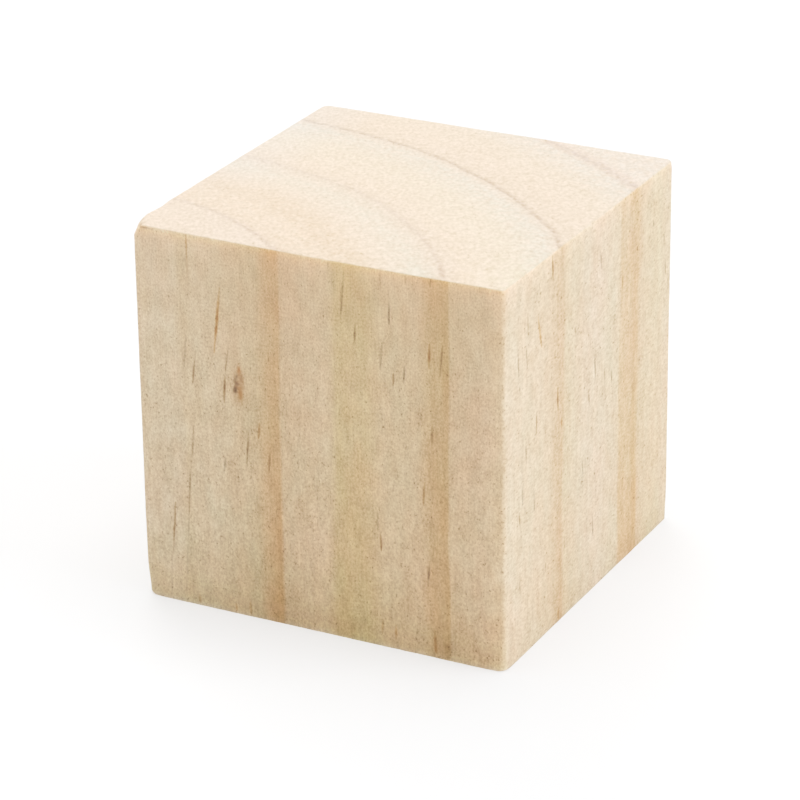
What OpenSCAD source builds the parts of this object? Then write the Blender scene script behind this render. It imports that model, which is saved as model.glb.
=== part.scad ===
// Small pine craft cube, sawn from square planed strip and lightly eased.
// One solid piece of softwood. The grain runs along Z, so the top and the
// bottom are the sawn end-grain faces and the four sides are planed long grain.
// Origin: centre of the bottom face. Units: millimetres.

/* [Block] */
// Width of the block along X, across the grain
block_w = 20; // [8:0.5:60]
// Depth of the block along Y, across the grain
block_d = 20; // [8:0.5:60]
// Height of the block along Z, the length that the saw cuts from the strip
block_h = 20; // [8:0.5:60]

/* [Edges] */
// Rounding of the four long-grain edges, which the strip already has when it is cut
long_edge_r = 0.25; // [0.2:0.05:2]
// Slight rounding left on the eight sawn end-grain edges
sawn_edge_r = 0.1; // [0.05:0.05:0.15]

/* [Finish] */
// Colour of the bare, unfinished pine
pine_colour = "#dcc2a0"; // [#dcc2a0:Natural, #ecdcc2:Bleached, #c49a6c:Aged]
// Smoothness of the rounded edges
edge_segments = 48; // [16:4:96]

/* [Hidden] */
$fn = edge_segments;
// Half sizes, and the centres of the four long-edge roundings
half_w = block_w / 2;
half_d = block_d / 2;
post_x = half_w - long_edge_r;
post_y = half_d - long_edge_r;

// Rectangle centred on the X axis, from y = 0 up to h, with its corners rounded
module eased_rect(w, h, r) {
    union() {
        translate([-w / 2, r]) square([w, h - 2 * r]);
        translate([-w / 2 + r, 0]) square([w - 2 * r, h]);
        for (x = [-w / 2 + r, w / 2 - r], y = [r, h - r])
            translate([x, y]) circle(r);
    }
}

// Slab of the full width that stops short of the long edges in depth
module slab_across_width() {
    translate([0, post_y, 0]) rotate([90, 0, 0])
        linear_extrude(height = 2 * post_y) eased_rect(block_w, block_h, sawn_edge_r);
}

// Slab of the full depth that stops short of the long edges in width
module slab_across_depth() {
    translate([-post_x, 0, 0]) rotate([90, 0, 90])
        linear_extrude(height = 2 * post_x) eased_rect(block_d, block_h, sawn_edge_r);
}

// Round post that fills one long edge, with its two ends eased like the slabs
module edge_post() {
    rotate_extrude() intersection() {
        eased_rect(2 * long_edge_r, block_h, sawn_edge_r);
        square([long_edge_r + 1, block_h]);
    }
}

// The whole block: two crossed slabs, with a post rounding each long edge
module pine_cube() {
    color(pine_colour) union() {
        slab_across_width();
        slab_across_depth();
        for (x = [-post_x, post_x], y = [-post_y, post_y])
            translate([x, y, 0]) edge_post();
    }
}

pine_cube();
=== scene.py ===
import math

import bpy
import numpy as np
from mathutils import Matrix, Vector
from mathutils.geometry import delaunay_2d_cdt


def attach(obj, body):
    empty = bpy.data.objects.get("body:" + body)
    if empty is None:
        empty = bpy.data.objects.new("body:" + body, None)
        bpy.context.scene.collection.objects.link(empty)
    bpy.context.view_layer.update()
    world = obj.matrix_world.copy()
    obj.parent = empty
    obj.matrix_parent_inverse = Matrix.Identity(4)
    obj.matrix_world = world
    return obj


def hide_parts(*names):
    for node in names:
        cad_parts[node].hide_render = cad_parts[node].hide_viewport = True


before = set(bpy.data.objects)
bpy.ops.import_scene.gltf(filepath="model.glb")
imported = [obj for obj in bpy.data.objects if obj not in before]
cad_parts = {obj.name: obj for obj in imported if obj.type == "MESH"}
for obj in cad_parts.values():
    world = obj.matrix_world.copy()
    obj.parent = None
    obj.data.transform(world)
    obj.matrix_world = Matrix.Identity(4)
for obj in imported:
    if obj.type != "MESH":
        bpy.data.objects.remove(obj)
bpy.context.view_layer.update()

# A small bare pine cube. Lengths in this script are millimetres, in the CAD frame, until a mesh is written in metres.
# +Z runs along the grain. -Y is the wide side with the small knot, +X the side to its right, +Z the sawn end grain.
MM = 0.001
HALF = 10.0
TALL = 20.0
BODY = "root"

# ---------------------------------------------------------------- camera
IMAGE = 800  # the frame is square
AZ, EL, ROLL = math.radians(26.962), math.radians(22.799), math.radians(-0.453)
PAN, TILT = math.radians(-0.163), math.radians(-0.377)
DIST, FOCAL_PX = 184.034, 3643.7


def make_camera():
    back = Vector((math.sin(AZ) * math.cos(EL), -math.cos(AZ) * math.cos(EL), math.sin(EL)))
    forward = -back
    right = forward.cross(Vector((0, 0, 1))).normalized()
    up = right.cross(forward)
    c, s = math.cos(ROLL), math.sin(ROLL)
    right, up = c * right + s * up, c * up - s * right
    c, s = math.cos(PAN), math.sin(PAN)
    right, forward = c * right - s * forward, s * right + c * forward
    c, s = math.cos(TILT), math.sin(TILT)
    up, forward = c * up - s * forward, s * up + c * forward
    data = bpy.data.cameras.new("camera")
    data.sensor_fit = "AUTO"
    data.sensor_width = 36.0
    data.lens = FOCAL_PX * 36.0 / IMAGE
    data.dof.use_dof = False
    data.clip_start, data.clip_end = 0.005, 20.0
    cam = bpy.data.objects.new("camera", data)
    bpy.context.scene.collection.objects.link(cam)
    turn = Matrix((right, up, -forward)).transposed().to_4x4()
    place = (Vector((0, 0, TALL / 2)) + back * DIST) * MM
    cam.matrix_world = Matrix.Translation(place) @ turn
    bpy.context.scene.camera = cam
    return cam


make_camera()


# ---------------------------------------------------------------- noise for the mesh
def hashed(ix, iy, iz, seed):
    h = (
        ix.astype(np.int64) * 374761393
        + iy.astype(np.int64) * 668265263
        + iz.astype(np.int64) * 2147483647
        + seed * 974634777
    ) & 0xFFFFFFFF
    h = ((h ^ (h >> 13)) * 1274126177) & 0xFFFFFFFF
    h = ((h ^ (h >> 16)) * 2246822519) & 0xFFFFFFFF
    return ((h ^ (h >> 15)) & 0xFFFFFF) / float(0xFFFFFF) * 2 - 1


def noise(p, seed=0):
    """Smooth value noise, about -1 to 1, one feature per unit."""
    i = np.floor(p)
    f = p - i
    f = f * f * f * (f * (f * 6 - 15) + 10)
    i = i.astype(np.int64)
    total = 0
    for dx in (0, 1):
        for dy in (0, 1):
            for dz in (0, 1):
                w = (
                    (f[:, 0] if dx else 1 - f[:, 0])
                    * (f[:, 1] if dy else 1 - f[:, 1])
                    * (f[:, 2] if dz else 1 - f[:, 2])
                )
                total = total + w * hashed(i[:, 0] + dx, i[:, 1] + dy, i[:, 2] + dz, seed)
    return total


def smooth(x, a, b):
    t = np.clip((x - a) / (b - a), 0, 1)
    return t * t * (3 - 2 * t)


# ---------------------------------------------------------------- growth rings
PITH = (-12.62, -21.36)  # the rings' common centre, outside the block
RINGS = (15.50, 22.64, 28.92, 35.10)  # outer radius of each latewood band
LATE = (0.75, 0.80, 0.85, 1.6)  # its radial width


def latewood(p):
    """0 in earlywood, rising to 1 at the outer border of each growth ring."""
    r = np.hypot(p[:, 0] - PITH[0], p[:, 1] - PITH[1])
    out = np.zeros(len(p))
    for edge, width in zip(RINGS, LATE):
        out = np.maximum(out, smooth(r, edge - width, edge - 0.15) * (1 - smooth(r, edge - 0.05, edge + 0.05)))
    return out


# ---------------------------------------------------------------- resin canals that the planed faces cut along
# (across, height) of the top end, then of the bottom end, then width, how dark it is at its top, middle and bottom,
# and how orange it is. Across is X on the front (-Y) face and Y on the right (+X) face.
FRONT_STREAKS = [
    (-8.44, 2.45, -8.56, 0.45, 0.13, (0.16, 0.14, 0.10), 0.10),
    (-7.53, 3.25, -7.66, 0.55, 0.12, (0.14, 0.13, 0.08), 0.10),
    (-5.20, 17.45, -5.62, 14.00, 0.14, (0.35, 0.95, 0.45), 0.90),
    (-7.16, 14.65, -7.34, 12.95, 0.11, (0.20, 0.30, 0.20), 0.15),
    (-6.66, 13.95, -6.89, 12.15, 0.11, (0.20, 0.55, 0.70), 0.35),
    (-4.84, 14.25, -5.03, 13.12, 0.11, (0.35, 0.65, 0.60), 0.35),
    (-5.06, 12.85, -5.15, 11.45, 0.12, (0.65, 0.90, 0.70), 0.45),
    (-6.94, 9.85, -7.12, 7.75, 0.11, (0.35, 0.45, 0.15), 0.35),
    (-7.22, 7.25, -7.38, 4.98, 0.11, (0.40, 0.45, 0.35), 0.30),
    (-7.40, 4.70, -7.48, 3.50, 0.10, (0.25, 0.25, 0.20), 0.20),
    (-8.14, 5.45, -8.40, 2.60, 0.12, (0.50, 0.75, 0.30), 0.50),
    (-3.85, 10.08, -3.98, 8.25, 0.12, (0.35, 0.70, 0.35), 0.30),
    (-3.21, 10.70, -3.29, 9.88, 0.12, (0.40, 0.70, 0.40), 0.75),
    (-2.66, 9.27, -2.75, 8.15, 0.12, (0.35, 0.70, 0.40), 0.40),
    (-5.20, 8.42, -5.30, 7.62, 0.11, (0.30, 0.50, 0.20), 0.10),
    (1.60, 19.40, 1.37, 17.10, 0.11, (0.20, 0.50, 0.35), 0.20),
    (3.98, 18.30, 3.96, 17.20, 0.11, (0.30, 0.55, 0.65), 0.10),
    (2.17, 16.94, 2.08, 15.80, 0.11, (0.30, 0.70, 0.35), 0.30),
    (3.56, 16.18, 3.46, 14.80, 0.12, (0.25, 0.45, 0.35), 0.15),
    (6.08, 16.58, 6.04, 15.28, 0.12, (0.55, 0.75, 0.30), 0.65),
    (6.77, 16.60, 6.62, 15.03, 0.11, (0.45, 0.60, 0.35), 0.35),
    (4.75, 15.18, 4.70, 14.36, 0.12, (0.45, 0.75, 0.45), 0.10),
    (4.16, 14.70, 4.13, 14.10, 0.11, (0.55, 0.70, 0.45), 0.45),
    (6.19, 12.42, 6.17, 11.42, 0.12, (0.30, 0.45, 0.30), 0.35),
    (5.59, 12.90, 5.57, 12.56, 0.11, (0.30, 0.40, 0.20), 0.10),
    (5.74, 9.33, 5.66, 8.15, 0.12, (0.25, 0.50, 0.40), 0.65),
    (3.20, 7.15, 3.18, 6.36, 0.11, (0.15, 0.30, 0.35), 0.10),
    (3.33, 6.06, 3.36, 5.22, 0.12, (0.55, 1.05, 0.65), 0.50),
    (5.95, 5.10, 5.88, 3.95, 0.12, (0.25, 0.70, 0.35), 0.10),
    (6.22, 1.50, 6.28, 0.45, 0.15, (0.20, 0.40, 0.65), 0.90),
    (3.42, 1.55, 3.33, 0.70, 0.12, (0.15, 0.25, 0.10), 0.80),
    (4.12, 1.38, 4.10, 0.62, 0.14, (0.15, 0.45, 0.10), 1.00),
    (3.53, 19.82, 3.53, 18.90, 0.12, (0.20, 0.20, 0.15), 0.30),
    (4.87, 19.82, 4.85, 19.40, 0.12, (0.25, 0.25, 0.15), 0.30),
    (6.17, 19.82, 6.15, 19.45, 0.12, (0.45, 0.35, 0.25), 0.30),
    (-6.97, 19.82, -7.00, 17.40, 0.11, (0.60, 0.18, 0.10), 0.70),
    (-6.95, 0.74, -6.91, 0.33, 0.20, (0.20, 0.40, 0.40), 0.70),
    (-4.86, 0.72, -4.83, 0.33, 0.14, (0.15, 0.30, 0.40), 1.00),
    (-4.02, 0.95, -4.00, 0.33, 0.15, (0.20, 0.25, 0.30), 1.00),
]
RIGHT_STREAKS = [
    (-4.62, 19.80, -4.52, 18.58, 0.13, (0.60, 0.85, 0.75), 0.50),
    (0.99, 18.15, 1.12, 17.15, 0.12, (0.35, 0.60, 0.60), 0.15),
    (-6.23, 17.30, -5.82, 15.60, 0.21, (0.30, 0.45, 0.45), 0.95),
    (-7.36, 17.91, -7.33, 16.76, 0.11, (0.50, 0.65, 0.70), 0.40),
    (-8.47, 16.45, -8.37, 14.85, 0.11, (0.35, 0.85, 0.35), 0.20),
    (-8.29, 14.50, -8.28, 14.20, 0.11, (0.40, 0.45, 0.30), 0.20),
    (-7.54, 16.15, -7.42, 15.10, 0.12, (0.45, 0.40, 0.50), 0.15),
    (0.42, 12.85, 0.50, 11.62, 0.12, (0.55, 1.05, 0.65), 0.20),
    (1.60, 11.85, 1.72, 10.20, 0.11, (0.35, 0.40, 0.30), 0.20),
    (-3.96, 12.75, -3.91, 11.30, 0.13, (0.80, 1.00, 0.30), 0.50),
    (-3.49, 10.95, -3.51, 10.45, 0.13, (0.55, 0.55, 0.20), 0.80),
    (-0.28, 11.25, -0.19, 10.40, 0.11, (0.55, 1.00, 0.40), 0.30),
    (8.93, 16.42, 8.95, 15.70, 0.12, (0.45, 0.55, 0.20), 0.20),
    (9.17, 14.85, 9.21, 14.05, 0.12, (0.40, 0.85, 0.65), 0.20),
    (9.56, 13.90, 9.57, 13.20, 0.11, (0.40, 0.65, 0.40), 0.30),
    (-6.39, 12.42, -6.38, 11.30, 0.12, (0.45, 0.75, 0.65), 0.35),
    (-7.56, 11.35, -7.52, 10.15, 0.11, (0.25, 0.70, 0.35), 0.20),
    (-7.94, 9.08, -7.92, 8.00, 0.11, (0.35, 0.45, 0.35), 0.00),
    (-6.66, 8.50, -6.59, 7.30, 0.11, (0.40, 0.40, 0.55), 0.00),
    (-8.28, 7.90, -8.20, 6.92, 0.11, (0.50, 0.75, 0.55), 0.30),
    (-8.25, 4.40, -8.24, 3.60, 0.11, (0.30, 0.35, 0.30), 0.20),
    (2.50, 11.30, 2.53, 10.55, 0.11, (0.70, 0.95, 0.70), 0.20),
    (3.74, 15.90, 3.74, 15.10, 0.12, (0.35, 0.50, 0.40), 0.50),
    (2.73, 14.20, 2.73, 13.60, 0.11, (0.45, 0.55, 0.45), 0.20),
    (-5.25, 3.90, -5.25, 3.40, 0.11, (0.35, 0.45, 0.35), 0.20),
    (0.32, 4.15, 0.40, 3.00, 0.12, (0.25, 0.65, 0.75), 0.10),
    (-1.02, 7.85, -0.88, 6.75, 0.11, (0.30, 0.35, 0.35), 0.10),
    (-3.78, 0.90, -3.74, 0.33, 0.18, (0.25, 0.40, 0.40), 0.90),
    (7.57, 17.46, 7.59, 17.16, 0.12, (1.10, 1.10, 0.80), 0.10),
    (-1.98, 15.20, -1.96, 14.92, 0.12, (0.35, 0.45, 0.25), 0.30),
]


def random_streaks(seed, count, lean):
    """Streaks for a side that nothing shows, at the same spacing and lengths as the others."""
    rng = np.random.default_rng(seed)
    made = []
    while len(made) < count:
        a, top = rng.uniform(-9.0, 9.0), rng.uniform(1.6, 19.4)
        long = min(float(rng.gamma(2.2, 0.55)) + 0.35, top - 0.4)
        if long < 0.3:
            continue
        b = a + lean * long + rng.normal(0, 0.02)
        near = any(
            abs(a - m[0]) < 0.45 and top - long < m[1] + 0.3 and m[3] - 0.3 < top for m in made
        )
        if near or not -9.2 < b < 9.2:
            continue
        dark = rng.uniform(0.4, 0.9)
        made.append(
            (a, top, b, top - long, rng.uniform(0.10, 0.14), (0.6 * dark, dark, 0.6 * dark), rng.uniform(0.1, 0.8))
        )
    return made


LEFT_STREAKS = random_streaks(11, 24, 0.05)
BACK_STREAKS = random_streaks(23, 26, -0.04)

# ---------------------------------------------------------------- shape
# Sides are drawn in a flat strip: s runs round the block from the back left edge, over the left, front, right and back
# faces, 20 mm each, and v runs up. Each long edge is rounded, and each sawn edge is lightly broken.
CORNER = np.array([(-10, 10), (-10, -10), (10, -10), (10, 10), (-10, 10)], float)
NORMAL = np.array([(0, 1), (-1, 0), (0, -1), (1, 0), (0, 1), (-1, 0)], float)  # before corner 0, after it, ...
ALONG = np.array([(-1, 0), (0, -1), (1, 0), (0, 1), (-1, 0), (0, -1)], float)
BAND = 0.2  # width in v of the strip that wraps over a sawn edge


def long_radius(k, v):
    """Rounding of long edge k at height v: a little uneven, and sharpest on the edge between front and right."""
    low = np.array([0.34, 0.250, 0.205, 0.205, 0.34])[k]
    high = np.array([0.38, 0.290, 0.200, 0.270, 0.38])[k]
    at = np.stack([k % 4 * 7.3 + 0.5, v * 0.35, v * 0 + 0.5], 1)
    fine = np.stack([k % 4 * 3.1 + 0.5, v * 1.7, v * 0 + 8.5], 1)
    uneven = 1 + 0.07 * noise(at, 3) + 0.05 * noise(fine, 4)
    flare = np.array([0.0, 0.55, 0.0, 0.10, 0.0])[k] * smooth(v, 19.50, 20.0)
    blunt = np.array([0.0, 0.27, 0.18, 0.16, 0.0])[k] * (1 - smooth(v, 0.0, 1.9))
    blunt = blunt + np.array([0.0, 0.07, 0.0, 0.0, 0.0])[k] * (1 - smooth(v, 0.0, 5.0))
    return (low + (high - low) * v / TALL) * uneven + flare + blunt


def rim_radius(s, top):
    """Rounding of the sawn edges: small and uneven, but worn round where the left face meets the front left edge."""
    t = np.abs((s + 10) % 20 - 10)
    ring = s / 80 * 2 * math.pi
    at = np.stack([np.cos(ring) * 7 + 9, np.sin(ring) * 7 + 9, s * 0 + (3.5 if top else 8.5)], 1)
    fine = np.stack([np.cos(ring) * 40 + 50, np.sin(ring) * 40 + 50, s * 0 + (3.5 if top else 8.5)], 1)
    base = np.interp(s, (0, 19.9, 20.1, 39.9, 40.1, 59.9, 60.1, 80), (0.12, 0.12, 0.095, 0.095, 0.13, 0.13, 0.12, 0.12))
    r = (base if top else 0.03) + 0.012 * noise(at, 5) + 0.010 * noise(fine, 6) + 0.02 * np.exp(-((t / 0.5) ** 2))
    if top:
        worn = smooth(s, 18.5, 19.7) * (1 - smooth(s, 20.15, 20.50))
        r = r + worn * (0.42 - r) + 0.11 * np.exp(-(((s - 17.3) / 0.6) ** 2))
    else:
        r = r + 0.12 * (np.exp(-(((s - 20) / 0.6) ** 2)) + np.exp(-(((s - 40) / 0.5) ** 2)))
    return np.maximum(r, 0.022)


def side_surface(s, v):
    """Position and outward normal, in mm, of points of the strip."""
    k = np.clip(np.rint(s / 20), 0, 4).astype(int)
    t = s - 20 * k
    R = long_radius(k, v)
    n0, n1 = NORMAL[k], NORMAL[k + 1]
    phi = np.clip((t / R + 1) / 2, 0, 1) * (math.pi / 2)
    n = np.cos(phi)[:, None] * n0 + np.sin(phi)[:, None] * n1
    centre = CORNER[k] - R[:, None] * (n0 + n1)
    arc = centre + R[:, None] * n
    before = CORNER[k] + t[:, None] * ALONG[k]
    after = CORNER[k] + t[:, None] * ALONG[k + 1]
    xy = np.where((t < -R)[:, None], before, np.where((t > R)[:, None], after, arc))
    rt, rb = rim_radius(s, True), rim_radius(s, False)
    up = np.clip((v - (TALL - BAND)) / BAND, 0, 1) * math.pi / 2
    down = np.clip((BAND - v) / BAND, 0, 1) * math.pi / 2
    z = v + smooth(v, TALL - 2.2, TALL - BAND) * (BAND - rt) - (1 - smooth(v, BAND, 2.2)) * (BAND - rb)
    z = np.where(up > 0, TALL - rt + rt * np.sin(up), z)
    z = np.where(down > 0, rb - rb * np.sin(down), z)
    inset = np.where(up > 0, rt * (1 - np.cos(up)), 0) + np.where(down > 0, rb * (1 - np.cos(down)), 0)
    xy = xy - inset[:, None] * n
    lean = np.sin(up) - np.sin(down)
    flat = np.sqrt(np.maximum(0, 1 - lean**2))
    return np.column_stack([xy, z]), np.column_stack([n * flat[:, None], lean])


KNOT = np.array([-4.40, -10.0, 12.45])


def relief(p, n, cut, streak):
    """How far the surface stands proud of, or below, its nominal place."""
    end = np.abs(n[:, 2])
    side = 1 - end
    late = latewood(p)
    d = 0.006 * noise(p / 7.0, 21) + 0.005 * noise(p / 2.6, 22)
    d += side * (0.005 * late + 0.0040 * noise(p * np.array([3.1, 3.1, 0.33]), 23))
    d += side * 0.0020 * noise(p * np.array([1.4, 1.4, 1.0]), 28)
    d += side * 0.0014 * np.cos(p[:, 2] * 2 * math.pi / 1.15 + 0.6 * noise(p / 3.0, 27))
    # the long faces are drawn in a little just under the sawn top
    d -= side * 0.010 * np.exp(-(((TALL - p[:, 2]) / 0.36) ** 2))
    d += end * (0.007 * late + 0.005 * noise(p * np.array([2.6, 2.6, 1.0]), 24))
    d += end * 0.0025 * np.sin((p[:, 0] * 0.94 + p[:, 1] * 0.34) * 2 * math.pi / 0.83 + 1.2 * noise(p / 4.0, 25))
    # the saw left the top edges slightly ragged
    edge = np.hypot(HALF - np.maximum(np.abs(p[:, 0]), np.abs(p[:, 1])), TALL - p[:, 2])
    ragged = 0.5 + 0.35 * noise(p * np.array([2.4, 2.4, 0.1]), 41) + 0.35 * noise(p * np.array([1.0, 1.0, 0.1]), 42)
    d -= 0.006 * ragged * np.exp(-((edge / 0.15) ** 2))
    d -= 0.016 * streak
    q = (p - KNOT) / np.array([0.30, 1.0, 0.75])
    near = np.exp(-(q**2).sum(1)) * side
    d += near * (0.006 - 0.016 * (noise(p * np.array([6, 6, 3.0]), 26) > 0.15))
    return d * cut


# The block was sawn slightly out of square: where each corner lies from its nominal place, in mm.
SKEW = {
    (-1, -1, 1): (0.0, 0.0, -0.042),
    (1, -1, 1): (-0.034, 0.0, -0.170),
    (1, 1, 1): (-0.030, -0.045, -0.103),
    (-1, 1, 1): (0.0, -0.072, -0.051),
    (-1, -1, 0): (0.0, 0.144, 0.0),
    (1, -1, 0): (-0.004, 0.141, 0.0),
}


def out_of_square(p):
    """The block's points moved with its corners, then fitted to the exact 20 mm box."""
    u, v, w = (p[:, 0] + HALF) / 20, (p[:, 1] + HALF) / 20, p[:, 2] / TALL
    moved = p.copy()
    for (a, b, c), shift in SKEW.items():
        share = (u if a > 0 else 1 - u) * (v if b > 0 else 1 - v) * (w if c else 1 - w)
        moved += share[:, None] * np.array(shift)
    # the top dips a little along the middle of its front edge
    moved[:, 2] -= 0.060 * 4 * u * (1 - u) * np.exp(-((v * 20 / 1.5) ** 2)) * smooth(w, 0.9, 1.0)
    lo, hi = moved.min(0), moved.max(0)
    return (moved - lo) / (hi - lo) * 20 - np.array([HALF, HALF, 0])


def streak_outline(a0, v0, a1, v1, width, dark, orange, wobble):
    """Centre line and outline of one resin streak, a long thin spindle, in strip coordinates."""
    length = math.hypot(a1 - a0, v1 - v0)
    count = max(4, min(22, int(length / 0.13) + 2))
    t = np.linspace(0, 1, count)
    line = np.column_stack([a0 + (a1 - a0) * t, v0 + (v1 - v0) * t])
    at = np.column_stack([t * length * 1.6 + wobble, t * 0 + 0.5, t * 0 + wobble * 0.37])
    line[:, 0] += 0.02 * noise(at, 31) * np.sin(math.pi * t)
    body = np.sin(math.pi * np.clip(t, 0.06, 0.94)) ** 0.3
    half = 0.80 * width * body * (1 + 0.15 * noise(at * 1.9, 32))
    half = np.maximum(half, 0.04)
    level = np.interp(t, (0, 0.16, 0.5, 0.84, 1), (0.7 * dark[0], dark[0], dark[1], dark[2], 0.7 * dark[2]))
    level = level * (1 + 0.30 * noise(at * 2.3 + 5, 33))
    left = np.column_stack([line[:, 0] - half, line[:, 1]])
    right = np.column_stack([line[:, 0] + half, line[:, 1]])
    tip0, tip1 = line[0] + (0, 0.09), line[-1] - (0, 0.09)
    ring = np.vstack([tip0, right, tip1, left[::-1]])
    return line, ring, np.clip(level, 0.05, 1.2), np.full(count, orange)


def lines(lo, hi, step, dense):
    """Grid positions from lo to hi, with finer steps inside the dense stretches (from, to, step)."""
    cuts = sorted({lo, hi} | {x for d in dense for x in d[:2] if lo < x < hi})
    out = [lo]
    for a, b in zip(cuts, cuts[1:]):
        mid = (a + b) / 2
        fine = min([d[2] for d in dense if d[0] <= mid <= d[1]] + [step])
        k = max(1, int(round((b - a) / fine)))
        out += list(np.linspace(a, b, k + 1)[1:])
    return np.array(out)


def triangles(points, edges, inside):
    """Constrained Delaunay triangles, as indices into points. No point may be merged or added."""
    r = delaunay_2d_cdt([Vector(p) for p in points], edges, [], 1 if inside else 0, 1e-7, True)
    where = [o[0] if o else -1 for o in r[3]]
    if min(where) < 0 or any(len(o) > 1 for o in r[3]):
        raise RuntimeError("the outlines in the strip cross or touch")
    return np.array([[where[i] for i in f] for f in r[2]], np.int64)


def enclosed(q, loop):
    """Whether the point q lies inside the closed outline."""
    x, y = (loop - q).T
    turn = np.arctan2(x * np.roll(y, -1) - y * np.roll(x, -1), x * np.roll(x, -1) + y * np.roll(y, -1))
    return abs(turn.sum()) > 3


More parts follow.
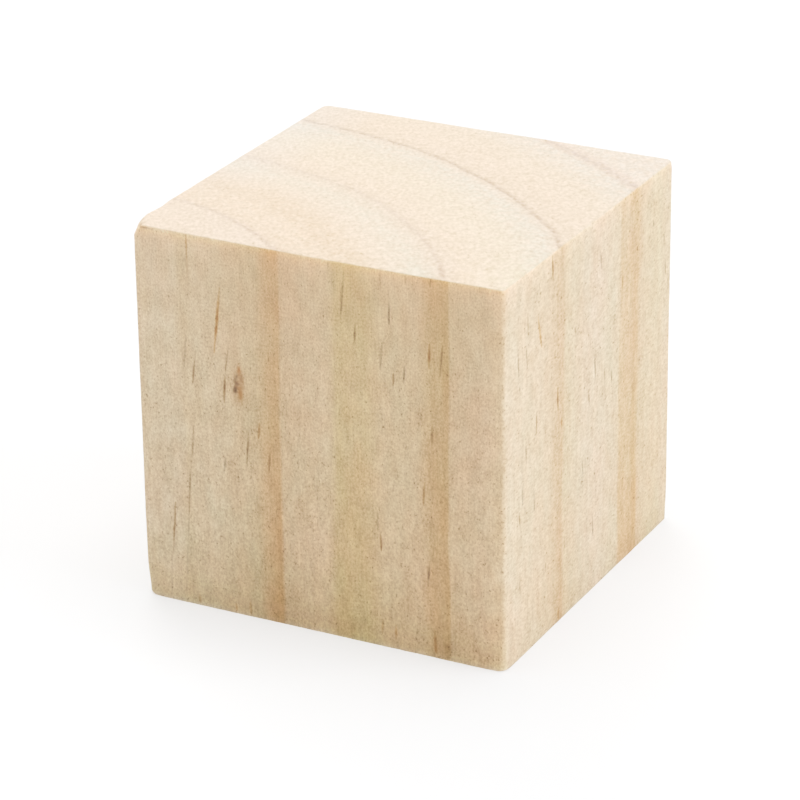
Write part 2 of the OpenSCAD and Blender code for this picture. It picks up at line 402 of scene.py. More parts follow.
def build_block():
    near = [(20 * k - 0.5, 20 * k + 0.5, 0.055) for k in range(5)]
    s_lines = lines(0, 80, 0.2, near + [(20 * k - 0.7, 20 * k + 0.7, 0.1) for k in range(5)])
    for k in range(1, 4):
        s_lines[np.argmin(abs(s_lines - 20 * k))] = 20.0 * k
    v_lines = lines(0, TALL, 0.2, [(0, BAND, 0.05), (TALL - BAND, TALL, 0.05), (TALL - 1.0, TALL - BAND, 0.1)])
    S, V = np.meshgrid(s_lines, v_lines, indexing="ij")
    grid = np.column_stack([S.ravel(), V.ravel()])
    border = np.isin(grid[:, 0], (0, 80)) | np.isin(grid[:, 1], (0, TALL))
    keep = np.ones(len(grid), bool)
    rings, centres, level, orange = [], [], [], []
    faces = ((LEFT_STREAKS, 10, -1), (FRONT_STREAKS, 30.025, 1), (RIGHT_STREAKS, 50, 1), (BACK_STREAKS, 70, -1))
    n = 0
    for streaks, middle, sign in faces:
        for a0, v0, a1, v1, width, dark, hue in streaks:
            n += 1
            line, ring, lev, org = streak_outline(
                middle + sign * a0, v0, middle + sign * a1, v1, width, dark, hue, n * 3.7
            )
            rings.append(ring)
            centres.append(line)
            level.append(lev)
            orange.append(org)
            lo, hi = ring.min(0) - 0.08, ring.max(0) + 0.08
            near = np.flatnonzero((grid > lo).all(1) & (grid < hi).all(1) & ~border)
            for i in near:
                a = np.vstack([line[:1] + (0, 0.09), line, line[-1:] - (0, 0.09)])
                ab = a[1:] - a[:-1]
                t = np.clip(((grid[i] - a[:-1]) * ab).sum(1) / (ab**2).sum(1), 0, 1)
                if np.hypot(*(grid[i] - a[:-1] - t[:, None] * ab).T).min() < 1.1 * width + 0.05:
                    keep[i] = False
    grid = grid[keep]
    points, streak, hue = [grid], [np.zeros(len(grid))], [np.zeros(len(grid))]
    edges, total = [], len(grid)
    for ring, line, lev, org in zip(rings, centres, level, orange):
        k = len(ring)
        edges += [(total + j, total + (j + 1) % k) for j in range(k)]
        points.append(ring)
        streak.append(np.zeros(k))
        hue.append(np.full(k, org[0]))
        total += k
        m = len(line)
        edges += [(total + j, total + j + 1) for j in range(m - 1)]
        points.append(line)
        streak.append(lev)
        hue.append(org)
        total += m
    flat = np.vstack(points)
    streak, hue = np.concatenate(streak), np.concatenate(hue)
    tri = triangles(flat, edges, False)
    a, b, c = flat[tri[:, 0]], flat[tri[:, 1]], flat[tri[:, 2]]
    area = (b[:, 0] - a[:, 0]) * (c[:, 1] - a[:, 1]) - (c[:, 0] - a[:, 0]) * (b[:, 1] - a[:, 1])
    tri = tri[np.abs(area) > 1e-9]
    area = area[np.abs(area) > 1e-9]
    tri[area < 0] = tri[area < 0][:, ::-1]
    p, nrm = side_surface(flat[:, 0], flat[:, 1])
    # weld the strip's two ends, at the back left edge
    first = {round(v, 6): i for i, (s, v) in enumerate(flat) if s == 0}
    same = np.arange(len(flat))
    for i in np.flatnonzero(flat[:, 0] == 80):
        same[i] = first[round(flat[i, 1], 6)]
    tile = np.clip((flat[tri][:, :, 0].mean(1) // 20).astype(int), 0, 3)
    corner_uv = flat[tri].copy()
    corner_uv[:, :, 0] -= 20 * tile[:, None]
    verts, norms, marks, hues = [p], [nrm], [streak], [hue]
    faces_out, tiles_out, uv_out = [same[tri]], [tile], [corner_uv / 20]
    count = len(flat)
    for top in (True, False):
        rim = np.flatnonzero(flat[:, 1] == (TALL if top else 0))
        rim = rim[np.argsort(flat[rim, 0])][:-1]
        edge = p[rim, :2]
        g = np.linspace(-9.85, 9.85, 101)
        gx, gy = np.meshgrid(g, g, indexing="ij")
        inner = np.column_stack([gx.ravel(), gy.ravel()])
        outer = np.abs(inner).max(1) > HALF - 1.2
        far = np.ones(len(inner), bool)
        ab = np.roll(edge, -1, 0) - edge
        for i in np.flatnonzero(outer):
            t = np.clip(((inner[i] - edge) * ab).sum(1) / (ab**2).sum(1), 0, 1)
            far[i] = np.hypot(*(inner[i] - edge - t[:, None] * ab).T).min() > 0.11
        for i in np.flatnonzero(outer & far):  # keep only points inside the rim
            far[i] = enclosed(inner[i], edge)
        inner = inner[far]
        pts = np.vstack([edge, inner])
        loop = [(j, (j + 1) % len(rim)) for j in range(len(rim))]
        f = triangles(pts, loop, True)
        # no slivers between the uneven rim and its hull
        on_rim = np.flatnonzero((f < len(rim)).all(1))
        f = np.delete(f, [i for i in on_rim if not enclosed(pts[f[i]].mean(0), edge)], 0)
        a, b, c = pts[f[:, 0]], pts[f[:, 1]], pts[f[:, 2]]
        area = (b[:, 0] - a[:, 0]) * (c[:, 1] - a[:, 1]) - (c[:, 0] - a[:, 0]) * (b[:, 1] - a[:, 1])
        f[area < 0] = f[area < 0][:, ::-1]
        if not top:
            f = f[:, ::-1]
        ids = np.concatenate([rim, count + np.arange(len(inner))])
        verts.append(np.column_stack([inner, np.full(len(inner), TALL if top else 0.0)]))
        norms.append(np.tile([0, 0, 1.0 if top else -1.0], (len(inner), 1)))
        marks.append(np.zeros(len(inner)))
        hues.append(np.zeros(len(inner)))
        faces_out.append(ids[f])
        tiles_out.append(np.full(len(f), 4 if top else 5))
        uv = (pts[f] + HALF) / TALL
        if not top:
            uv[:, :, 1] = 1 - uv[:, :, 1]
        uv_out.append(uv)
        count += len(inner)
    p, nrm = np.vstack(verts), np.vstack(norms)
    streak, hue = np.concatenate(marks), np.concatenate(hues)
    tri, tile, uv = np.vstack(faces_out), np.concatenate(tiles_out), np.vstack(uv_out)
    # relief, then every face is let back in so that its highest point lies in the nominal plane
    d = relief(p, nrm, 1.0, streak)
    for axis, sign in ((0, -1), (0, 1), (1, -1), (1, 1), (2, -1), (2, 1)):
        mine = nrm[:, axis] * sign > 0.999
        share = np.clip(nrm[:, axis] * sign, 0, 1) ** 2
        d -= share * d[mine].max()
    p = out_of_square(p + nrm * d[:, None])
    used = np.unique(tri)
    new = np.full(len(p), -1)
    new[used] = np.arange(len(used))
    return p[used], nrm[used], new[tri], tile, uv, streak[used], hue[used]


verts, norms, tris, tiles, uvs, streaks, hues = build_block()

# a 2 by 3 layout of the six faces for the baked map, wider across the grain, where the detail is
GAP = 0.006
CELL = {0: (0, 0), 1: (0, 2), 2: (1, 2), 3: (1, 0), 4: (0, 1), 5: (1, 1)}


def make_mesh():
    mesh = bpy.data.meshes.new("pine_block")
    mesh.vertices.add(len(verts))
    mesh.vertices.foreach_set("co", (verts * MM).astype(np.float32).ravel())
    mesh.loops.add(len(tris) * 3)
    mesh.loops.foreach_set("vertex_index", tris.astype(np.int32).ravel())
    mesh.polygons.add(len(tris))
    mesh.polygons.foreach_set("loop_start", np.arange(0, len(tris) * 3, 3, dtype=np.int32))
    mesh.update(calc_edges=True)
    mesh.polygons.foreach_set("use_smooth", np.ones(len(tris), bool))
    cell = np.array([CELL[t] for t in range(6)], float)[tiles]
    w, h = 1 / 2 - 2 * GAP, 1 / 3 - 2 * GAP
    u = cell[:, None, 0] / 2 + GAP + uvs[:, :, 0] * w
    v = cell[:, None, 1] / 3 + GAP + uvs[:, :, 1] * h
    layer = mesh.uv_layers.new(name="OFBake")
    layer.uv.foreach_set("vector", np.stack([u, v], -1).astype(np.float32).ravel())
    for name, values in (
        ("resin", streaks),
        ("resin_hue", hues),
        ("end_grain", smooth(np.abs(norms[:, 2]), 0.35, 0.85)),
    ):
        attribute = mesh.attributes.new(name, "FLOAT", "POINT")
        attribute.data.foreach_set("value", values.astype(np.float32))
    mesh.validate()
    block = bpy.data.objects.new("pine_block", mesh)
    bpy.context.scene.collection.objects.link(block)
    return block


block = make_mesh()


# ---------------------------------------------------------------- material
class Nodes:
    """Short names for building a node tree."""

    def __init__(self, tree):
        self.tree = tree

    def put(self, socket, value):
        if isinstance(value, bpy.types.NodeSocket):
            self.tree.links.new(value, socket)
        elif value is not None:
            socket.default_value = value

    def math(self, op, a, b=None, c=None, clamp=False):
        n = self.tree.nodes.new("ShaderNodeMath")
        n.operation, n.use_clamp = op, clamp
        for i, x in enumerate((a, b, c)):
            self.put(n.inputs[i], x)
        return n.outputs[0]

    def vec(self, op, a, b=None):
        n = self.tree.nodes.new("ShaderNodeVectorMath")
        n.operation = op
        self.put(n.inputs[0], a)
        if op == "SCALE":
            self.put(n.inputs["Scale"], b)
        else:
            self.put(n.inputs[1], b)
        return n.outputs["Value"] if op in ("LENGTH", "DISTANCE", "DOT_PRODUCT") else n.outputs["Vector"]

    def noise(self, p, scale=(1, 1, 1), detail=2.0, rough=0.5, distort=0.0, shift=(0, 0, 0), colour=False):
        n = self.tree.nodes.new("ShaderNodeTexNoise")
        n.noise_dimensions = "3D"
        q = self.vec("MULTIPLY", p, scale)
        if any(shift):
            q = self.vec("ADD", q, shift)
        self.put(n.inputs["Vector"], q)
        n.inputs["Scale"].default_value = 1.0
        n.inputs["Detail"].default_value = detail
        n.inputs["Roughness"].default_value = rough
        n.inputs["Distortion"].default_value = distort
        return n.outputs["Color"] if colour else n.outputs[0]

    def span(self, x, a, b, lo=0.0, hi=1.0, kind="SMOOTHSTEP"):
        n = self.tree.nodes.new("ShaderNodeMapRange")
        n.interpolation_type = kind
        n.clamp = True
        for i, value in enumerate((x, a, b, lo, hi)):
            self.put(n.inputs[i], value)
        return n.outputs[0]

    def mix(self, fac, a, b, blend="MIX"):
        n = self.tree.nodes.new("ShaderNodeMix")
        n.data_type, n.blend_type, n.clamp_factor = "RGBA", blend, True
        self.put(n.inputs[0], fac)
        self.put(n.inputs[6], a)
        self.put(n.inputs[7], b)
        return n.outputs[2]

    def tint(self, colour, factor):
        """colour times a scalar, or times a colour"""
        return self.vec("MULTIPLY", colour, factor)

    def ramp(self, x, stops, kind="LINEAR"):
        n = self.tree.nodes.new("ShaderNodeValToRGB")
        r = n.color_ramp
        r.interpolation = kind
        while len(r.elements) > 1:
            r.elements.remove(r.elements[-1])
        for i, (at, colour) in enumerate(stops):
            e = r.elements[0] if i == 0 else r.elements.new(at)
            e.position = at
            e.color = (*colour, 1.0)
        self.put(n.inputs[0], x)
        return n.outputs[0]

    def joined(self, x, y, z):
        n = self.tree.nodes.new("ShaderNodeCombineXYZ")
        for i, value in enumerate((x, y, z)):
            self.put(n.inputs[i], value)
        return n.outputs[0]

    def stronger(self, factor, by):
        """A colour factor moved further from 1, or nearer to it."""
        return self.vec("ADD", self.vec("SCALE", self.vec("SUBTRACT", factor, (1, 1, 1)), by), (1, 1, 1))

    def browned(self, tone):
        """A tone as a colour factor: darker is browner."""
        tone = self.math("MAXIMUM", tone, 0.05)
        return self.joined(*(self.math("POWER", tone, x) for x in (0.88, 1.08, 1.28)))

    def attribute(self, name):
        n = self.tree.nodes.new("ShaderNodeAttribute")
        n.attribute_type = "GEOMETRY"
        n.attribute_name = name
        return n.outputs["Fac"]


def lin(r, g, b):
    """Linear colour of an ordinary 0 to 255 display colour."""
    return tuple(((c / 255 + 0.055) / 1.055) ** 2.4 if c > 10 else c / 3295 for c in (r, g, b))


R0, R1 = 11.0, 43.0  # the radii that the ring ramps cover


def at(r):
    return (r - R0) / (R1 - R0)


# what each growth ring does to the long-grain colour, outwards from the pith
SIDE_RINGS = [
    (at(11.7), (1.045, 1.075, 1.12)),
    (at(12.05), (1.02, 1.05, 1.10)),
    (at(12.45), (1.03, 1.073, 1.125)),
    (at(12.64), (0.980, 1.005, 1.01)),
    (at(12.80), (1.015, 1.052, 1.08)),
    (at(13.30), (1.012, 1.050, 1.08)),
    (at(14.10), (0.985, 0.985, 0.99)),
    (at(14.70), (0.94, 0.958, 0.945)),
    (at(15.05), (0.925, 0.88, 0.82)),
    (at(15.36), (0.885, 0.81, 0.72)),
    (at(15.50), (0.885, 0.81, 0.72)),
    (at(15.60), (0.965, 0.965, 0.965)),
    (at(17.20), (1.030, 1.025, 1.03)),
    (at(17.55), (1.0, 0.998, 0.985)),
    (at(17.80), (0.945, 0.945, 0.85)),
    (at(19.00), (0.955, 0.955, 0.87)),
    (at(19.80), (1.02, 1.015, 1.0)),
    (at(21.40), (1.015, 1.0, 0.995)),
    (at(21.90), (0.94, 0.895, 0.83)),
    (at(22.12), (0.895, 0.83, 0.745)),
    (at(22.35), (0.915, 0.86, 0.78)),
    (at(22.58), (0.875, 0.80, 0.695)),
    (at(22.74), (0.88, 0.805, 0.69)),
    (at(22.83), (0.985, 0.975, 0.965)),
    (at(24.40), (1.045, 1.03, 1.04)),
    (at(25.10), (1.125, 1.105, 1.10)),
    (at(25.65), (1.04, 1.04, 1.06)),
    (at(27.90), (1.0, 1.0, 1.0)),
    (at(28.42), (0.93, 0.90, 0.875)),
    (at(28.85), (0.885, 0.815, 0.77)),
    (at(29.05), (0.965, 0.96, 0.94)),
    (at(30.50), (1.0, 1.01, 1.04)),
]
OUTER_RINGS = [
    (at(30.5), (1.0, 1.0, 1.0)),
    (at(31.60), (1.02, 1.012, 1.02)),
    (at(32.90), (0.98, 0.995, 0.98)),
    (at(33.48), (0.98, 0.985, 0.965)),
    (at(33.67), (0.915, 0.838, 0.752)),
    (at(34.30), (0.932, 0.862, 0.792)),
    (at(34.95), (0.855, 0.758, 0.658)),
    (at(35.22), (0.90, 0.825, 0.73)),
    (at(35.42), (0.953, 0.922, 0.882)),
    (at(36.00), (0.973, 0.963, 0.92)),
    (at(37.30), (0.975, 0.97, 0.92)),
    (at(37.90), (1.0, 0.99, 0.97)),
]
# and to the end grain, where only the dark outer line of each ring shows
END_RINGS = [
    (at(11.0), (1.02, 1.0, 1.005)),
    (at(14.60), (0.99, 0.985, 1.0)),
    (at(15.26), (0.975, 0.97, 0.99)),
    (at(15.49), (0.835, 0.800, 0.824)),
    (at(15.68), (0.96, 0.93, 0.925)),
    (at(16.05), (0.985, 0.955, 0.935)),
    (at(17.40), (1.002, 0.970, 0.945)),
    (at(17.90), (0.960, 0.918, 0.888)),
    (at(18.90), (0.966, 0.930, 0.900)),
    (at(19.90), (1.0, 1.0, 0.995)),
    (at(21.40), (0.965, 1.018, 1.028)),
    (at(22.40), (0.965, 0.97, 0.98)),
    (at(22.57), (0.855, 0.83, 0.845)),
    (at(22.80), (0.975, 0.965, 0.965)),
    (at(23.60), (1.005, 0.995, 0.98)),
    (at(26.20), (0.99, 1.02, 1.0)),
    (at(28.10), (0.942, 1.015, 1.052)),
    (at(28.62), (0.95, 0.965, 0.99)),
    (at(28.78), (0.735, 0.705, 0.72)),
    (at(29.06), (0.965, 0.955, 0.955)),
    (at(30.50), (1.0, 0.99, 0.985)),
    (at(32.40), (0.98, 0.99, 0.985)),
    (at(34.30), (0.950, 1.025, 1.09)),
    (at(34.68), (0.89, 0.89, 0.94)),
    (at(34.88), (0.835, 0.832, 0.89)),
    (at(35.18), (0.94, 0.945, 1.0)),
    (at(35.60), (0.966, 1.018, 1.08)),
    (at(42.9), (0.97, 1.03, 1.11)),
]

# painted light: close under the sawn top the long faces are painted paler and warmer, standing in for light that shines
# through the thin wood at the edge
PAINTED_EDGE_GLOW = [
    (0.00, (1.18, 1.17, 1.17)), (0.10, (1.20, 1.19, 1.17)), (0.15, (1.215, 1.185, 1.14)), (0.20, (1.21, 1.165, 1.10)),
    (0.25, (1.20, 1.14, 1.075)), (0.30, (1.18, 1.115, 1.055)), (0.40, (1.15, 1.08, 1.045)), (0.55, (1.10, 1.05, 1.033)),
    (0.65, (1.08, 1.04, 1.025)), (0.80, (1.055, 1.028, 1.025)), (1.00, (1.045, 1.025, 1.02)), (1.25, (1.02, 1.012, 1.01)),
    (1.60, (1.0, 1.0, 1.0)),
]
# painted shade on the front face, by height above the foot in mm: darker over the lowest few mm, where the floor's
# contact shadow falls, with a painted paler, bluer line at the very foot
PAINTED_FRONT_SHADE = [
    (0.05, (1.025, 1.11, 1.17)), (0.10, (1.005, 1.065, 1.107)), (0.15, (0.987, 1.045, 1.04)), (0.25, (0.952, 0.995, 0.95)),
    (0.35, (0.945, 0.962, 0.91)), (0.50, (0.935, 0.945, 0.90)), (0.75, (0.925, 0.925, 0.885)), (1.25, (0.942, 0.955, 0.91)),
    (1.80, (0.96, 0.955, 0.93)), (3.00, (0.975, 0.98, 0.965)), (4.50, (1.0, 1.0, 1.0)),
]

LONG_GRAIN = (0.773, 0.587, 0.410)
END_GRAIN = (0.743, 0.575, 0.428)


def pine():
    mat = bpy.data.materials.new("bare_pine")
    mat.use_nodes = True
    tree = mat.node_tree
    tree.nodes.clear()
    k = Nodes(tree)
    out = tree.nodes.new("ShaderNodeOutputMaterial")
    shader = tree.nodes.new("ShaderNodeBsdfPrincipled")
    tree.links.new(shader.outputs[0], out.inputs["Surface"])
    where = tree.nodes.new("ShaderNodeTexCoord").outputs["Object"]
    p = k.vec("MULTIPLY", where, (1000, 1000, 1000))
    end = k.attribute("end_grain")
    resin = k.attribute("resin")
    resin_hue = k.attribute("resin_hue")

    # the rings wander a little from true circles
    slow = k.vec("SUBTRACT", k.noise(p, (0.16, 0.16, 0.06), 1.0, colour=True), (0.5, 0.5, 0.5))
    quick = k.vec("SUBTRACT", k.noise(p, (1.3, 1.3, 0.22), 2.0, shift=(7, 3, 1), colour=True), (0.5, 0.5, 0.5))
    warped = k.vec("ADD", p, k.vec("MULTIPLY", slow, (0.45, 0.45, 0)))
    warped = k.vec("ADD", warped, k.vec("MULTIPLY", quick, (0.15, 0.15, 0)))
    from_pith = k.vec("MULTIPLY", k.vec("SUBTRACT", warped, (*PITH, 0)), (1, 1, 0))
    r = k.vec("LENGTH", from_pith)
    phase = k.math("DIVIDE", k.math("SUBTRACT", r, R0), R1 - R0)
    side_ring = k.vec("MULTIPLY", k.ramp(phase, SIDE_RINGS), k.ramp(phase, OUTER_RINGS))
    turn = k.vec("DOT_PRODUCT", k.vec("NORMALIZE", from_pith), (1, 0, 0))
    bend = k.span(k.math("ABSOLUTE", k.math("SUBTRACT", r, 28.8)), 1.0, 2.5, 0.18 / (R1 - R0), 0.0)
    bend = k.math("MULTIPLY", bend, k.span(turn, 0.742, 0.788))
    bend = k.math("ADD", bend, k.math("MULTIPLY", k.span(turn, 0.20, 0.42, 0.14 / (R1 - R0), 0.0), k.span(r, 17.0, 21.0)))
    end_ring = k.ramp(k.math("ADD", phase, bend), END_RINGS)
    blotch = k.noise(p, (1.3, 1.3, 0.35), 2.0, 0.6, shift=(17, 5, 8))
    deeper = k.span(k.vec("DOT_PRODUCT", p, (0, 0, 1)), 3.0, 14.0, 0.22, -0.05, "LINEAR")
    deeper = k.math("MULTIPLY", deeper, k.span(k.math("ABSOLUTE", k.math("SUBTRACT", r, 22.3)), 1.5, 4.0))
    by = k.math("ADD", k.span(blotch, 0.30, 0.70, 0.78, 1.22, "LINEAR"), deeper)
    side_ring = k.stronger(side_ring, by)
    bead = k.noise(p, (2.6, 2.6, 2.6), 2.0, 0.6, shift=(2, 18, 6))
    by = k.math("MULTIPLY", k.span(turn, 0.30, 0.62, 0.84, 1.0), k.span(turn, 0.79, 0.85, 1.0, 1.65))
    end_ring = k.stronger(end_ring, k.math("MULTIPLY", by, k.span(bead, 0.30, 0.70, 0.50, 1.55, "LINEAR")))

    # long grain: fine fibres drawn out along Z, a finer mottle with dark flecks, slow drifts of tone and tint, and
    # painted shade that makes it slightly darker towards the foot
    fibre = k.noise(p, (9.0, 4.6, 0.5), 2.0, 0.55)
    mottle = k.noise(p, (11.0, 4.3, 8.4), 2.0, 0.6, shift=(3, 9, 5))
    fleck = k.noise(p, (9.5, 4.6, 7.0), 1.0, 0.5, shift=(13, 2, 8))
    dash = k.noise(p, (7.5, 4.2, 1.6), 1.0, 0.5, shift=(5, 17, 3))
    mid = k.noise(p, (1.6, 1.6, 0.9), 2.0, 0.5, shift=(2, 11, 19))
    cloud = k.noise(p, (0.42, 0.42, 0.20), 2.0, 0.5, shift=(1, 6, 4))
    height = k.math("SUBTRACT", k.vec("DOT_PRODUCT", p, (0, 0, 1)), 10.0)
    # painted shade: the long grain is painted about 1.5 % darker at the foot and paler at the top
    tone = k.math("ADD", 1.0, k.math("MULTIPLY", height, 0.0015))
    tone = k.math("ADD", tone, k.math("MULTIPLY", k.math("SUBTRACT", fibre, 0.5), 0.22))
    tone = k.math("ADD", tone, k.math("MULTIPLY", k.math("SUBTRACT", mottle, 0.5), 0.70))
    tone = k.math("ADD", tone, k.math("MULTIPLY", k.math("SUBTRACT", mid, 0.5), 0.32))
    tone = k.math("ADD", tone, k.math("MULTIPLY", k.math("SUBTRACT", cloud, 0.5), 0.08))
    tone = k.math("SUBTRACT", tone, k.math("MULTIPLY", k.span(fleck, 0.61, 0.85), 0.40))
    tone = k.math("SUBTRACT", tone, k.math("MULTIPLY", k.span(dash, 0.66, 0.80), 0.13))
    hue = k.noise(p, (0.30, 0.30, 0.16), 2.0, 0.5, shift=(21, 14, 2))
    hue_mid = k.noise(p, (1.1, 1.1, 0.5), 1.0, 0.5, shift=(4, 22, 7))
    long_tint = k.mix(k.span(hue, 0.3, 0.7), (1.012, 0.988, 0.985, 1), (0.985, 1.012, 1.0, 1))
    long_tint = k.tint(long_tint, k.mix(k.span(hue_mid, 0.3, 0.7), (1.010, 0.994, 0.985, 1), (0.990, 1.004, 1.005, 1)))
    long_colour = k.tint(k.tint(k.tint((LONG_GRAIN), long_tint), side_ring), k.browned(tone))
    ragged = k.math("MULTIPLY", k.math("SUBTRACT", k.noise(p, (2.6, 2.6, 0.8), 2.0, 0.6, shift=(1, 1, 7)), 0.5), 0.45)
    below = k.math("ADD", k.math("SUBTRACT", 10.0, height), ragged)
    # painted light: the pale warm band under the sawn top, painted into every long face
    painted_edge_glow = k.ramp(k.math("DIVIDE", below, 1.6), [(d / 1.6, c) for d, c in PAINTED_EDGE_GLOW])
    # painted shade on the front face: darker over its lowest few mm, paler in a thin line at the foot
    painted_front_shade = k.ramp(k.math("DIVIDE", k.math("ADD", 10.0, height), 4.5), [(d / 4.5, c) for d, c in PAINTED_FRONT_SHADE])
    forward = k.span(k.vec("DOT_PRODUCT", p, (0, -1, 0)), 9.3, 9.8)
    across = k.math("MULTIPLY", k.vec("DOT_PRODUCT", p, (-0.0024, 0, 0)), k.span(height, -6.0, 7.0))
    drift = k.math("ADD", 1.0, k.math("MULTIPLY", across, forward))
    # painted shade: the front face is also painted a little darker and cooler from about 16 mm height up
    painted_front_shade = k.tint(painted_front_shade, k.mix(k.span(height, 5.5, 7.2), (1, 1, 1, 1), (0.993, 0.972, 0.964, 1)))
    above = k.math("ADD", 10.0, height)
    # painted shade on the other long faces: darker and cooler over the lowest 2.6 mm; near the top the painted warm
    # band is made cooler
    painted_light_other_faces = k.mix(k.span(above, 0.05, 0.30), (0.93, 0.97, 1.0, 1), (0.965, 0.98, 0.985, 1))
    painted_light_other_faces = k.mix(k.span(above, 0.30, 2.60), painted_light_other_faces, (1, 1, 1, 1))
    painted_light_other_faces = k.tint(painted_light_other_faces, k.mix(k.span(below, 0.15, 0.75), (0.985, 1.015, 1.055, 1), (1, 1, 1, 1)))
    # the painted band under the top on every long face, then the painted shade of the front or of the other faces
    long_colour = k.tint(k.tint(long_colour, painted_edge_glow), k.mix(forward, painted_light_other_faces, painted_front_shade))
    long_colour = k.vec("SCALE", long_colour, drift)

    # end grain: the fibres' cut ends, in faint rays from the pith
    turned = tree.nodes.new("ShaderNodeVectorRotate")
    turned.rotation_type = "Z_AXIS"
    turned.inputs["Angle"].default_value = math.radians(-27)
    k.put(turned.inputs["Vector"], p)
    turned = turned.outputs[0]
    grit = k.noise(turned, (5.6, 3.6, 3.0), 2.0, 0.5, shift=(4, 4, 4))
    pore = k.noise(turned, (7.0, 4.6, 3.0), 1.0, 0.5, shift=(9, 1, 6))
    ray_at = k.vec("NORMALIZE", from_pith)
    ray = k.noise(k.vec("ADD", k.vec("SCALE", ray_at, 130.0), k.vec("SCALE", from_pith, 0.12)), (1, 1, 1), 1.0, 0.5)
    end_mid = k.noise(p, (1.2, 1.2, 1.0), 2.0, 0.5, shift=(12, 1, 9))
    end_cloud = k.noise(p, (0.35, 0.35, 0.35), 2.0, 0.5, shift=(8, 8, 1))
    end_tone = k.math("ADD", 1.0, k.math("MULTIPLY", k.math("SUBTRACT", grit, 0.5), 0.57))
    end_tone = k.math("ADD", end_tone, k.math("MULTIPLY", k.math("SUBTRACT", ray, 0.5), 0.06))
    end_tone = k.math("ADD", end_tone, k.math("MULTIPLY", k.math("SUBTRACT", end_mid, 0.5), 0.14))
    end_tone = k.math("ADD", end_tone, k.math("MULTIPLY", k.math("SUBTRACT", end_cloud, 0.5), 0.04))
    end_tone = k.math("SUBTRACT", end_tone, k.math("MULTIPLY", k.span(pore, 0.62, 0.85), 0.24))
    flat = k.vec("ABSOLUTE", p, (0, 0, 0))
    out_x = k.vec("DOT_PRODUCT", flat, (1, 0, 0))
    out_y = k.vec("DOT_PRODUCT", flat, (0, 1, 0))
    rim = k.span(k.math("MAXIMUM", out_x, out_y), 9.72, 9.92)
    end_tone = k.math("ADD", end_tone, k.math("MULTIPLY", rim, 0.022))
    end_colour = k.tint(k.tint(END_GRAIN, end_ring), k.browned(end_tone))
    left = k.math("MULTIPLY", k.span(k.vec("DOT_PRODUCT", p, (-1, 0, 0)), 5.8, 9.6), k.span(k.vec("DOT_PRODUCT", p, (0, 1, 0)), -7.0, 1.0))
    end_colour = k.tint(end_colour, k.mix(left, (1, 1, 1, 1), (0.982, 1.026, 1.085, 1)))

    colour = k.mix(end, long_colour, end_colour)

    # resin canals: a thin dark line that comes and goes
    broken = k.noise(p, (12.0, 12.0, 3.5), 1.0, 0.5, shift=(6, 2, 15))
    level = k.math("MULTIPLY", resin, k.span(broken, 0.30, 0.60, 0.70, 1.12, "LINEAR"))
    passed = []
    for dark, orange in ((-0.92, -0.52), (-0.98, -0.98), (-1.02, -1.55)):
        rate = k.math("MULTIPLY_ADD", resin_hue, orange - dark, dark)
        passed.append(k.math("EXPONENT", k.math("MULTIPLY", level, rate)))
    colour = k.tint(colour, k.joined(*passed))

    # the small knot mark on the front, a reddish smear with a few dark specks, and a thin dark reddish line just under
    # the top edge at the front's left end
    def spot(cx, cz, rx, rz):
        q = k.vec("MULTIPLY", k.vec("SUBTRACT", p, (cx, -10.0, cz)), (1 / rx, 0.4, 1 / rz))
        return k.math("EXPONENT", k.math("MULTIPLY", k.vec("DOT_PRODUCT", q, q), -1.0))

    def stain_with(colour, place, size, strength, shade):
        grain = k.span(k.noise(p, (8, 8, 6), 2.0, shift=(5, 5, 9)), 0.30, 0.62, 0.55, 1.0, "LINEAR")
        amount = k.math("MULTIPLY", k.math("MULTIPLY", spot(*place, *size), grain), strength)
        return k.mix(amount, colour, (*lin(*shade), 1))

    for place, size, strength, shade in (
        ((-4.33, 12.42), (0.34, 0.78), 0.68, (182, 140, 102)),
        ((-4.13, 12.90), (0.10, 0.22), 0.45, (150, 112, 82)),
        ((-4.25, 13.28), (0.10, 0.24), 0.80, (192, 138, 92)),
        ((-4.22, 12.00), (0.14, 0.36), 0.75, (190, 142, 92)),
        ((-4.08, 12.75), (0.10, 0.38), 0.60, (176, 132, 92)),
        ((-4.39, 12.93), (0.08, 0.12), 0.62, (124, 88, 56)),
        ((-4.50, 12.72), (0.11, 0.14), 0.70, (134, 104, 74)),
        ((-4.38, 12.54), (0.12, 0.10), 0.75, (104, 68, 38)),
        ((-4.49, 12.21), (0.11, 0.17), 0.85, (84, 54, 32)),
        ((-9.30, 19.86), (0.42, 0.05), 0.55, (168, 116, 84)),
    ):
        colour = stain_with(colour, place, size, strength, shade)

    k.put(shader.inputs["Base Color"], colour)
    rough = k.math("ADD", 0.60, k.math("MULTIPLY", mottle, 0.14))
    rough = k.math("ADD", rough, k.math("MULTIPLY", end, 0.10))
    rough = k.math("SUBTRACT", rough, k.math("MULTIPLY", resin, 0.10))
    k.put(shader.inputs["Roughness"], rough)
    shader.inputs["Specular IOR Level"].default_value = 0.28
    shader.inputs["Metallic"].default_value = 0.0

    height = k.math("ADD", k.math("MULTIPLY", fibre, 0.6), k.math("MULTIPLY", mottle, 0.5))
    end_height = k.math("MULTIPLY", grit, 1.2)
    height = k.math("ADD", k.math("MULTIPLY", height, k.math("SUBTRACT", 1.0, end)), k.math("MULTIPLY", end_height, end))
    bump = tree.nodes.new("ShaderNodeBump")
    bump.inputs["Strength"].default_value = 0.5
    bump.inputs["Distance"].default_value = 0.012 * MM
    k.put(bump.inputs["Height"], height)
    tree.links.new(bump.outputs[0], shader.inputs["Normal"])
    return mat


block.data.materials.append(pine())
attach(block, BODY)
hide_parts("pine_cube")


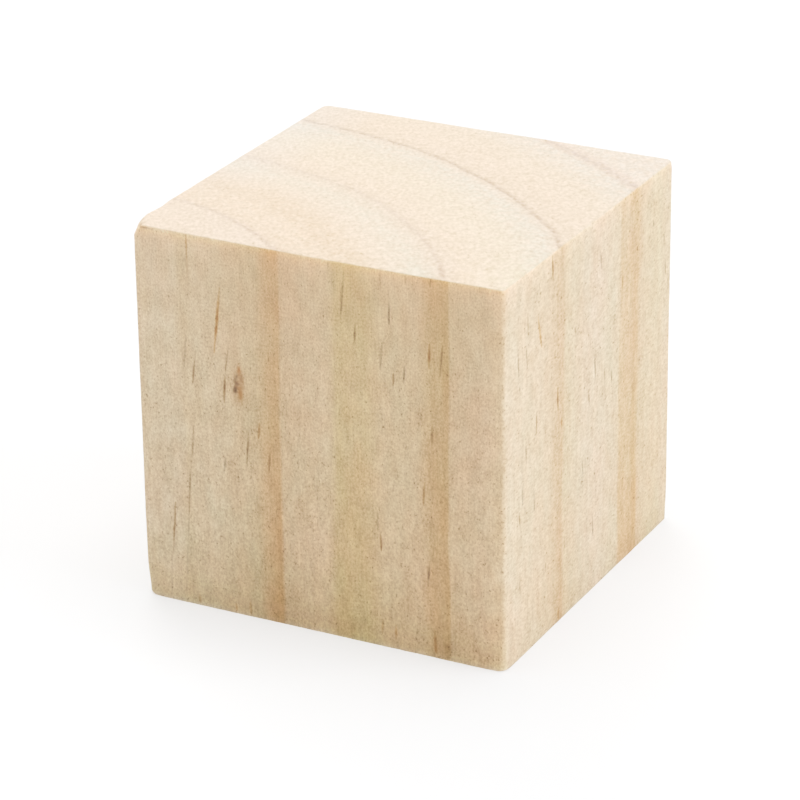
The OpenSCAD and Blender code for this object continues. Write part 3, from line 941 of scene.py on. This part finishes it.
# ---------------------------------------------------------------- floor and light
def make_stage():
    size = 1.6
    mesh = bpy.data.meshes.new("floor")
    mesh.from_pydata(
        [(-size, -size, 0), (size, -size, 0), (size, size, 0), (-size, size, 0)], [], [(0, 1, 2, 3)]
    )
    floor = bpy.data.objects.new("floor", mesh)
    bpy.context.scene.collection.objects.link(floor)
    mat = bpy.data.materials.new("floor_white")
    mat.use_nodes = True
    shader = mat.node_tree.nodes["Principled BSDF"]
    shader.inputs["Base Color"].default_value = (0.60, 0.60, 0.60, 1)
    shader.inputs["Roughness"].default_value = 0.9
    shader.inputs["Specular IOR Level"].default_value = 0.0
    # lit from below like a light table, and more so beyond the lamps' reach
    k = Nodes(mat.node_tree)
    place = mat.node_tree.nodes.new("ShaderNodeTexCoord").outputs["Object"]
    away = k.span(k.vec("LENGTH", place), 0.25, 0.75, 0.39, 1.5, "LINEAR")
    shader.inputs["Emission Color"].default_value = (1, 1, 1, 1)
    k.put(shader.inputs["Emission Strength"], away)
    mesh.materials.append(mat)

    world = bpy.data.worlds.new("studio")
    bpy.context.scene.world = world
    world.use_nodes = True
    tree = world.node_tree
    tree.nodes.clear()
    out = tree.nodes.new("ShaderNodeOutputWorld")
    seen = tree.nodes.new("ShaderNodeBackground")
    seen.inputs["Color"].default_value = (1, 1, 1, 1)
    seen.inputs["Strength"].default_value = 1.6
    sky = tree.nodes.new("ShaderNodeBackground")
    sky.inputs["Color"].default_value = (1, 1, 1, 1)
    sky.inputs["Strength"].default_value = 0.01
    mix = tree.nodes.new("ShaderNodeMixShader")
    path = tree.nodes.new("ShaderNodeLightPath")
    tree.links.new(path.outputs["Is Camera Ray"], mix.inputs[0])
    tree.links.new(sky.outputs[0], mix.inputs[1])
    tree.links.new(seen.outputs[0], mix.inputs[2])
    tree.links.new(mix.outputs[0], out.inputs[0])


def area(name, place, aim, size, watts, colour):
    data = bpy.data.lights.new(name, "AREA")
    data.shape = "DISK"
    data.size = size
    data.energy = watts
    data.color = colour
    lamp = bpy.data.objects.new(name, data)
    bpy.context.scene.collection.objects.link(lamp)
    place, aim = Vector(place), Vector(aim)
    lamp.location = place
    lamp.rotation_mode = "QUATERNION"
    lamp.rotation_quaternion = (aim - place).to_track_quat("-Z", "Y")
    return lamp


make_stage()
area("overhead", (0, 0, 0.60), (0, 0, 0.01), 0.45, 2.32, (1.0, 1.0, 1.0))
area("overhead_wide", (0, 0, 0.60), (0, 0, 0.01), 0.90, 3.41, (1.0, 1.0, 1.0))
area("back_left", (-0.30, 0.35, 0.40), (0, 0, 0.01), 0.40, 1.09, (1.0, 1.0, 1.0))
area("key_right", (0.50, 0.10, 0.30), (0, 0, 0.01), 0.40, 1.375, (0.97, 1.0, 1.06))


# ---------------------------------------------------------------- tone
def camera_tone():
    """A gentle film-like curve: mid tones gain contrast, highlights roll off."""
    view = bpy.context.scene.view_settings
    view.view_transform = "Standard"
    view.look = "None"
    view.exposure = 0.0
    view.gamma = 1.0
    view.use_curve_mapping = True
    mapping = view.curve_mapping
    mapping.white_level = (WHITE, WHITE, WHITE)
    curve = mapping.curves[3]
    curve.points[0].location, curve.points[1].location = TONE[0], TONE[-1]
    for place in TONE[1:-1]:
        curve.points.new(*place)
    mapping.update()


WHITE = 1.127
TONE = (
    (0.0, 0.0), (0.027, 0.02), (0.057, 0.05), (0.099, 0.10), (0.172, 0.20), (0.238, 0.30), (0.316, 0.42), (0.373, 0.50),
    (0.437, 0.58), (0.510, 0.66), (0.574, 0.72), (0.675, 0.80), (0.781, 0.87), (0.881, 0.93), (1.0, 1.0),
)
camera_tone()
